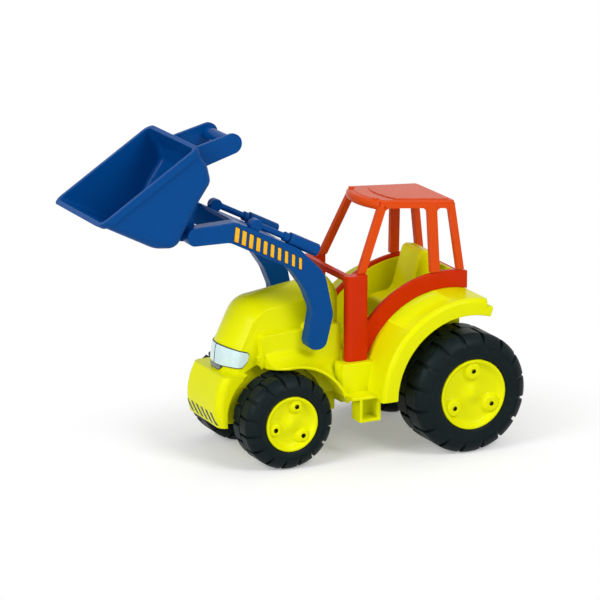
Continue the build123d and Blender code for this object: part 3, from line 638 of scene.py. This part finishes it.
class TOY_OT_wheels(bpy.types.Operator):
    """Makes the lugged tyres and the dished hubs"""

    bl_idname = "toy.wheels"
    bl_label = "Wheels"
    bl_options = {"REGISTER"}

    def turned(self, bm, section, middle, steps, closed):
        """A section of widths and radii turned once round a line along Y."""
        verts = [bm.verts.new(middle + Vector((0, y, r))) for y, r in section]
        ends = verts[1:] + verts[:1] if closed else verts[1:]
        edges = [bm.edges.new(pair) for pair in zip(verts, ends)]
        bmesh.ops.spin(bm, geom=verts + edges, cent=middle, axis=(0, 1, 0), dvec=(0, 0, 0),
                       angle=2 * math.pi, steps=steps, use_merge=True, use_duplicate=False)

    def lug_row(self, bm, section, middle, count, share, turn):
        """One block with rounded edges, repeated round the axle."""
        block = bmesh.new()
        span = 2 * math.pi / count * share
        face = block.faces.new([block.verts.new(middle + Vector((0, y, r))) for y, r in section])
        bmesh.ops.rotate(block, verts=block.verts, cent=middle,
                         matrix=Matrix.Rotation(turn - span / 2, 3, "Y"))
        bmesh.ops.spin(block, geom=[face, *face.edges, *face.verts], cent=middle, axis=(0, 1, 0),
                       dvec=(0, 0, 0), angle=span, steps=LUG_STEPS, use_merge=False,
                       use_duplicate=False)
        bmesh.ops.recalc_face_normals(block, faces=block.faces)
        round_edges(block, LUG_EDGE, degrees=25)
        whole = [*block.verts, *block.edges, *block.faces]
        step = 2 * math.pi / count
        bmesh.ops.spin(block, geom=whole, cent=middle, axis=(0, 1, 0), dvec=(0, 0, 0),
                       angle=step * (count - 1), steps=count - 1, use_merge=False,
                       use_duplicate=True)
        scratch = bpy.data.meshes.new("lug_row")
        block.to_mesh(scratch)
        block.free()
        bm.from_mesh(scratch)
        bpy.data.meshes.remove(scratch)

    def tyre(self, wheel, sizes, black):
        """A carcass with two rows of lugs, half a pitch apart."""
        low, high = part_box("tyre_" + wheel)
        middle = (low + high) / 2
        middle.z = JOINTS[wheel + "_wheel_spin"]["pos_m"][2]
        hub_low, hub_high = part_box("hub_" + wheel)
        hub_gap, row_gap, lug_root = 0.4 * MM, 0.4 * MM, 3 * MM
        bore = (hub_high.x - hub_low.x) / 2 + hub_gap
        pitch = 2 * math.pi / sizes.lug_count
        radius = middle.z / math.cos(pitch * (1 - sizes.lug_share) / 2)
        half = (high.y - low.y) / 2
        tread = radius - sizes.lug_height
        # Half of the carcass from its bead over the wall to the tread, as places across and radii
        side = [(half - 2.6 * MM, bore), (half - 1.0 * MM, bore + 1.6 * MM),
                (half - 0.5 * MM, bore + 5 * MM), (half - 0.5 * MM, radius - 13 * MM),
                (half - 1.2 * MM, radius - 10 * MM), (half - 3.2 * MM, radius - 7 * MM),
                (half - 6.2 * MM, radius - 4.6 * MM), (half - 9.5 * MM, radius - 3.0 * MM),
                (half - 12.5 * MM, tread)]
        bm = bmesh.new()
        self.turned(bm, side + [(-y, r) for y, r in reversed(side)], middle,
                    WHEEL_STEPS, True)
        bmesh.ops.recalc_face_normals(bm, faces=bm.faces)
        # One lug from the tyre's middle over the shoulder, then back inside the carcass
        block = [(row_gap, radius), (half - 9.5 * MM, radius), (half - 5.6 * MM, radius - 1.9 * MM),
                 (half - 2.4 * MM, radius - 5.2 * MM), (half - 0.6 * MM, radius - 9.2 * MM),
                 (half - 0.3 * MM, radius - 11.6 * MM), (half - 4 * MM, radius - 12 * MM),
                 (half - 10 * MM, tread - lug_root), (row_gap, tread - lug_root)]
        hand = 1 if middle.y > 0 else -1
        for row, turn in ((hand, math.pi), (-hand, math.pi + pitch / 2)):
            self.lug_row(bm, [(row * y, r) for y, r in block], middle, sizes.lug_count,
                         sizes.lug_share, turn)
        make_piece("tyre_moulding_" + wheel, bm, black, "wheel_" + wheel,
                   ("tyre_" + wheel,), smooth=40)

    def hub(self, wheel, sizes, yellow, shadow):
        """A dished face with a soft dome and a mound round each screw hole, hollow behind, and the holes' insides
        painted near black as shade.
        """
        low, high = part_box("hub_" + wheel)
        mount = MOUNTS[wheel + "_hub_screws"]
        hand = 1 if low.y > 0 else -1
        middle = (low + high) / 2
        middle.y = high.y if hand > 0 else low.y
        radius = (high.x - low.x) / 2
        depth = high.y - low.y
        dish_floor, dome_height, dome_radius, bends = -5 * MM, 4.4 * MM, 13.5 * MM, 8
        back, rim, sleeve, axle_bore = -8 * MM, radius - 3 * MM, 7 * MM, 3.1 * MM
        hole_foot, hole, hole_edge, rim_gap = -9.4 * MM, 2.2 * MM, 2.25 * MM, 3.7 * MM
        # The face from its middle to the rim, then the hollow behind it, as depths and radii
        dome = [(dish_floor + dome_height * (0.5 + 0.5 * math.cos(math.pi * k / bends)),
                 dome_radius * k / bends) for k in range(bends + 1)]
        dish = [(dish_floor, radius - 9 * MM), (-4.5 * MM, radius - 6.6 * MM),
                (-3.0 * MM, radius - 4.6 * MM), (-1.2 * MM, radius - 3.4 * MM),
                (-0.3 * MM, radius - 2.6 * MM), (0, radius - 1.8 * MM), (0, radius - 1.0 * MM),
                (-0.3 * MM, radius - 0.3 * MM), (-1.0 * MM, radius)]
        behind = [(-depth, radius), (-depth, rim), (back, rim), (back, sleeve), (-depth, sleeve),
                  (-depth, axle_bore), (back, axle_bore), (back, 0)]
        bm = bmesh.new()
        self.turned(bm, [(hand * y, r) for y, r in dome + dish + behind], middle, WHEEL_STEPS,
                    False)
        circle = mount["dims"]["pcd_mm"] / 2 * MM
        boss = radius - circle - rim_gap
        mound = [(hole_foot, 0), (hole_foot, hole), (-0.8 * MM, hole),
                 (-0.45 * MM, 2.6 * MM), (-0.4 * MM, boss - 1.6 * MM),
                 (-0.8 * MM, boss - 0.5 * MM), (-1.8 * MM, boss + 0.2 * MM),
                 (-3.4 * MM, boss + 0.9 * MM), (-4.6 * MM, boss + 1.9 * MM),
                 (-5.3 * MM, boss + 3.4 * MM)]
        start = sizes.front_turn if "front" in wheel else 0.0
        screws = []
        for k in range(mount["dims"]["count"]):
            turn = start + k * 2 * math.pi / mount["dims"]["count"]
            place = middle + Vector((math.sin(turn), 0, math.cos(turn))) * circle
            self.turned(bm, [(hand * y, r) for y, r in mound], place, MOUND_STEPS, False)
            screws.append(place)
        bmesh.ops.remove_doubles(bm, verts=bm.verts, dist=HUB_WELD_GAP)
        bmesh.ops.recalc_face_normals(bm, faces=bm.faces)
        # Faces inside each screw hole take the second material: painted shade, a near-black yellow that stands in
        # for the dark deep in the hole.
        for face in bm.faces:
            spot = face.calc_center_median()
            if any(math.hypot(spot.x - s.x, spot.z - s.z) < hole_edge for s in screws):
                face.material_index = 1
        piece = make_piece("hub_moulding_" + wheel, bm, yellow, "wheel_" + wheel,
                           ("hub_" + wheel,), smooth=50)
        piece.data.materials.append(shadow)

    def execute(self, context):
        colours, sizes, _ = settings()
        black = tyre_finish("tyre_moulding", colours.black)
        yellow = moulding_finish("hub_moulding", colours.yellow, roughness=0.26)
        # Painted shade: near-black yellow for the insides of the screw holes.
        shadow = moulding_finish("hub_screw_hole", shade(colours.yellow, 0.06), roughness=0.6)
        steel = steel_finish("axle_steel")
        for wheel in WHEELS:
            self.tyre(wheel, sizes, black)
            self.hub(wheel, sizes, yellow, shadow)
        for node in ("axle_front", "axle_rear"):
            set_finish(node, steel)
        return {"FINISHED"}


class TOY_OT_prints(bpy.types.Operator):
    """Lays the printed lamps, nose slashes and arm bars on their mouldings"""

    bl_idname = "toy.prints"
    bl_label = "Prints"
    bl_options = {"REGISTER"}

    def slashes(self, sizes, ink):
        """Slanted strokes along the nose's lower edge."""
        bm = bmesh.new()
        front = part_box("body_shell")[1].x
        foot, top, width, lean, pitch = 40.6 * MM, 51 * MM, 4.8 * MM, 9 * MM, 10.4 * MM
        reach = 50 * MM
        for i in range(sizes.slash_count):
            y = (i - (sizes.slash_count - 1) / 2) * pitch + lean / 2 - width / 2
            flat_patch(bm, [(front, y, foot), (front, y + width, foot),
                            (front, y + width - lean, top), (front, y - lean, top)], cuts=7)
        lay_on(bm, surface("body_shell"), (-reach, 0, 0), sizes.print_lift)
        bmesh.ops.recalc_face_normals(bm, faces=bm.faces)
        make_piece("nose_slashes", bm, ink, "chassis")

    def bars(self, sizes, ink, fade):
        """Slanted bars that grow towards the bucket on each arm's outer face."""
        low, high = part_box("loader_arms")
        lift_x, _, lift_z = JOINTS["loader_lift"]["pos_m"]
        start = Vector((lift_x + FIRST_BAR[0], 0, lift_z + FIRST_BAR[1]))
        end = Vector((lift_x + LAST_BAR[0], 0, lift_z + LAST_BAR[1]))
        outline, slant, corner = 0.7 * MM, 2.4 * MM, 0.8 * MM
        thin, widening, short = 1.6 * MM, 0.8 * MM, 0.76
        along = (end - start).normalized()
        across = Vector((-along.z, 0, along.x))
        for hand, name in ((1, "left"), (-1, "right")):
            face_y = high.y if hand > 0 else low.y
            for piece, grow, lift, finish in (("outlines", outline, 1, ink), ("bars", 0, 2, fade)):
                bm = bmesh.new()
                for i in range(sizes.bar_count):
                    share = i / (sizes.bar_count - 1)
                    middle = start.lerp(end, share)
                    middle.y = face_y + hand * lift * sizes.print_lift
                    half = along * (thin + widening * share + grow)
                    height = sizes.bar_height * (short + (1 - short) * share)
                    rise = across * (height / 2 + grow)
                    lean = along * slant
                    corners = [middle - half - rise - lean, middle + half - rise - lean,
                               middle + half + rise + lean, middle - half + rise + lean]
                    face = bm.faces.new([bm.verts.new(c) for c in corners])
                    bmesh.ops.bevel(bm, geom=list(face.verts), offset=corner, affect="VERTICES",
                                    offset_type="OFFSET", segments=3, profile=0.5, material=-1)
                bmesh.ops.recalc_face_normals(bm, faces=bm.faces)
                if bm.faces[:][0].normal.y * hand < 0:
                    bmesh.ops.reverse_faces(bm, faces=bm.faces)
                make_piece("arm_" + piece + "_" + name, bm, finish, "loader")

    def lamp_columns(self, tree, box, clip):
        """For turns round the hood's front, the strip's height range inset by clip."""
        low, high = box
        setback, count, widest = 8 * MM, 60, math.radians(80)
        axis_x = low.x - setback
        outside, reach, rise = 100 * MM, 95 * MM, 0.2 * MM
        columns = []
        for k in range(-count, count + 1):
            turn = widest * k / count
            out = Vector((math.cos(turn), math.sin(turn), 0))

            def touch(z, out=out):
                return tree.ray_cast(Vector((axis_x, 0, z)) + out * outside, -out, reach)

            steps = int((high.z - low.z) / rise)
            held = [z for z in (low.z + (i + 0.5) * rise for i in range(steps))
                    if touch(z)[0] is not None]
            if held and held[-1] - held[0] > 4 * clip:
                columns.append((turn, held[0] + clip, held[-1] - clip, touch))
        return columns

    def wrap(self, columns, rows, lift):
        """A patch that follows the strip between each column's low and high."""
        bm = bmesh.new()
        grid = []
        for _, low, high, touch in columns:
            line = []
            for i in range(rows + 1):
                spot, normal, *_ = touch(low + (high - low) * i / rows)
                if spot is None:
                    raise RuntimeError("a lamp print misses the strip")
                line.append(bm.verts.new(spot + normal * lift))
            grid.append(line)
        for one, two in zip(grid, grid[1:]):
            for i in range(rows):
                bm.faces.new((one[i], two[i], two[i + 1], one[i + 1]))
        bmesh.ops.recalc_face_normals(bm, faces=bm.faces)
        return bm

    def lamps(self, sizes, glass, mouth, ink):
        """Two lamp glasses and a ruled grille inside the lamp strip's outline."""
        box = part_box("lamp_strip")
        tree = surface("lamp_strip")
        columns = self.lamp_columns(tree, box, sizes.lamp_line)
        mouth_height, mouth_least = 4.4 * MM, 2 * MM
        mouth_top = box[0].z + mouth_height
        first_bar, bar_pitch, bar_height = 0.7 * MM, 1.35 * MM, 0.85 * MM
        middle_gap = math.radians(0.6)
        for hand, name in ((1, "left"), (-1, "right")):
            part = [(turn, max(low, mouth_top + sizes.lamp_line), high, touch)
                    for turn, low, high, touch in columns if hand * turn > middle_gap]
            make_piece("lamp_glass_" + name, self.wrap(part, rows=8, lift=2 * sizes.print_lift),
                       glass, "chassis")
        inner = [c for c in columns if c[1] < mouth_top - mouth_least]
        for k in range(GRILLE_BARS):
            foot = box[0].z + first_bar + bar_pitch * k
            part = [(turn, max(low, foot), max(low, foot) + bar_height, touch)
                    for turn, low, high, touch in inner]
            make_piece("lamp_grille_" + str(k + 1), self.wrap(part, rows=1, lift=sizes.print_lift),
                       mouth, "chassis")
        set_finish("lamp_strip", ink)

    def execute(self, context):
        colours, sizes, _ = settings()
        up, across = (0, 0, 1), (-0.47, 0, 0.88)
        pegs = JOINTS["loader_lift"]["pos_m"][2] * across[2]
        ink = print_finish("ink_print", shade(colours.ink, 0.8), colours.ink, up, start=0.0,
                           end=0.2)
        fade = print_finish("bar_print", colours.orange, colours.amber, across,
                            start=pegs + 40 * MM, end=pegs + 56 * MM)
        glass = lens_finish("lamp_print", colours.lamp)
        mouth = print_finish("grille_print", shade(colours.mouth, 0.8), colours.mouth, up,
                             start=85 * MM, end=92 * MM)
        self.slashes(sizes, ink)
        self.bars(sizes, ink, fade)
        self.lamps(sizes, glass, mouth, ink)
        return {"FINISHED"}


class TOY_OT_stage(bpy.types.Operator):
    """Sets the pale floor, the soft light and the camera"""

    bl_idname = "toy.stage"
    bl_label = "Stage"
    bl_options = {"REGISTER"}

    def floor(self, glow):
        """A pale card that keeps the shadow near the toy and shows white farther off."""
        bm = bmesh.new()
        bmesh.ops.create_grid(bm, x_segments=1, y_segments=1, size=8)
        mesh = bpy.data.meshes.new("floor")
        bm.to_mesh(mesh)
        bm.free()
        floor = bpy.data.objects.new("floor", mesh)
        bpy.context.scene.collection.objects.link(floor)
        finish = Finish("floor_card")
        low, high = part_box("body_shell")
        fade_start, fade_end = 0.13, 0.34
        spot = finish.node("ShaderNodeTexCoord", {}, {}, "Object")
        spread = finish.node("ShaderNodeVectorMath", {"operation": "SUBTRACT"},
                             {0: spot, 1: (low + high) / 2})
        spread = finish.node("ShaderNodeVectorMath", {"operation": "MULTIPLY"},
                             {0: spread, 1: (1, (high.x - low.x) / (high.y - low.y), 0)})
        away = finish.node("ShaderNodeVectorMath", {"operation": "LENGTH"}, {0: spread}, "Value")
        far = finish.node("ShaderNodeMapRange", {"interpolation_type": "SMOOTHSTEP"},
                          {"Value": away, "From Min": fade_start, "From Max": fade_end})
        rays = self.shown_rays(finish)
        white = finish.tree.nodes.new("ShaderNodeEmission")
        blend = finish.tree.nodes.new("ShaderNodeMixShader")
        finish.put(blend, {0: far * rays})
        finish.tree.links.new(finish.shader.outputs[0], blend.inputs[1])
        finish.tree.links.new(white.outputs[0], blend.inputs[2])
        finish.tree.links.new(blend.outputs[0], finish.output.inputs[0])
        finish.wear(Base_Color=(0.84, 0.84, 0.84, 1), Roughness=0.85, Emission_Color=rays * glow,
                    Emission_Strength=1.0)
        mesh.materials.append(finish.material)

    def shown_rays(self, finish):
        """One where the camera, a reflection or glass looks."""
        rays = finish.tree.nodes.new("ShaderNodeLightPath")
        camera, glossy, through = (Value(finish, rays.outputs[key]) for key in (
            "Is Camera Ray", "Is Glossy Ray", "Is Transmission Ray"))
        return camera + glossy + through

    def sky(self, strength):
        """Even light from all round, shown as white."""
        world = bpy.data.worlds.new("studio")
        bpy.context.scene.world = world
        world.use_nodes = True
        sky = Nodes(world.node_tree)
        background = next(n for n in sky.tree.nodes if n.type == "BACKGROUND")
        shown = self.shown_rays(sky)
        sky.put(background, {"Color": (1, 1, 1, 1), "Strength": shown * (1 - strength) + strength})

    def lamp(self, name, power, size, place):
        """A soft square lamp that looks at the toy."""
        light = bpy.data.lights.new(name, "AREA")
        light.energy = power
        light.size = size
        lamp = bpy.data.objects.new(name, light)
        bpy.context.scene.collection.objects.link(lamp)
        lamp.location = place
        lamp.rotation_euler = (AIM - Vector(place)).to_track_quat("-Z", "Y").to_euler()

    def execute(self, context):
        _, _, stage = settings()
        scene = context.scene
        scene.view_settings.view_transform = "Standard"
        self.floor(stage.floor_glow)
        self.sky(stage.sky)
        self.lamp("key_light", stage.key, 0.9, (-0.6, 1.6, 1.5))
        self.lamp("front_light", stage.front, 0.9, (1.7, 0.6, 1.2))
        self.lamp("top_light", stage.top, 1.8, (-0.3, -0.8, 2.2))
        camera = bpy.data.objects.new("camera", bpy.data.cameras.new("camera"))
        scene.collection.objects.link(camera)
        back = Vector((math.sin(stage.azimuth) * math.cos(stage.elevation),
                       -math.cos(stage.azimuth) * math.cos(stage.elevation),
                       math.sin(stage.elevation)))
        camera.location = AIM + back * stage.distance
        camera.rotation_euler = back.to_track_quat("Z", "Y").to_euler()
        camera.data.lens = stage.lens
        camera.data.sensor_width = 36
        camera.data.shift_x = PHOTO_SHIFT[0] / PHOTO_SIDE
        camera.data.shift_y = PHOTO_SHIFT[1] / PHOTO_SIDE
        camera.data.clip_start = 0.1
        camera.data.clip_end = 50
        scene.camera = camera
        return {"FINISHED"}


class TOY_PT_panel(bpy.types.Panel):
    """Lists the toy's operators and settings"""

    bl_idname = "TOY_PT_panel"
    bl_label = "Toy tractor"
    bl_space_type = "VIEW_3D"
    bl_region_type = "UI"
    bl_category = "Toy tractor"

    def draw(self, context):
        for operator in OPERATORS:
            self.layout.operator(operator.bl_idname)
        for group in settings():
            box = self.layout.box()
            for key in group.__annotations__:
                box.prop(group, key)


OPERATORS = (TOY_OT_body, TOY_OT_cab, TOY_OT_loader, TOY_OT_wheels, TOY_OT_prints, TOY_OT_stage)
CLASSES = (ToyColours, ToySizes, ToyStage, *OPERATORS, TOY_PT_panel)


def register():
    for cls in CLASSES:
        bpy.utils.register_class(cls)
    bpy.types.Scene.toy_colours = PointerProperty(type=ToyColours)
    bpy.types.Scene.toy_sizes = PointerProperty(type=ToySizes)
    bpy.types.Scene.toy_stage = PointerProperty(type=ToyStage)


def unregister():
    del bpy.types.Scene.toy_stage
    del bpy.types.Scene.toy_sizes
    del bpy.types.Scene.toy_colours
    for cls in reversed(CLASSES):
        bpy.utils.unregister_class(cls)


def main():
    """Makes every piece and the stage."""
    register()
    bpy.ops.toy.body()
    bpy.ops.toy.cab()
    bpy.ops.toy.loader()
    bpy.ops.toy.wheels()
    bpy.ops.toy.prints()
    bpy.ops.toy.stage()


if __name__ == "__main__":
    main()
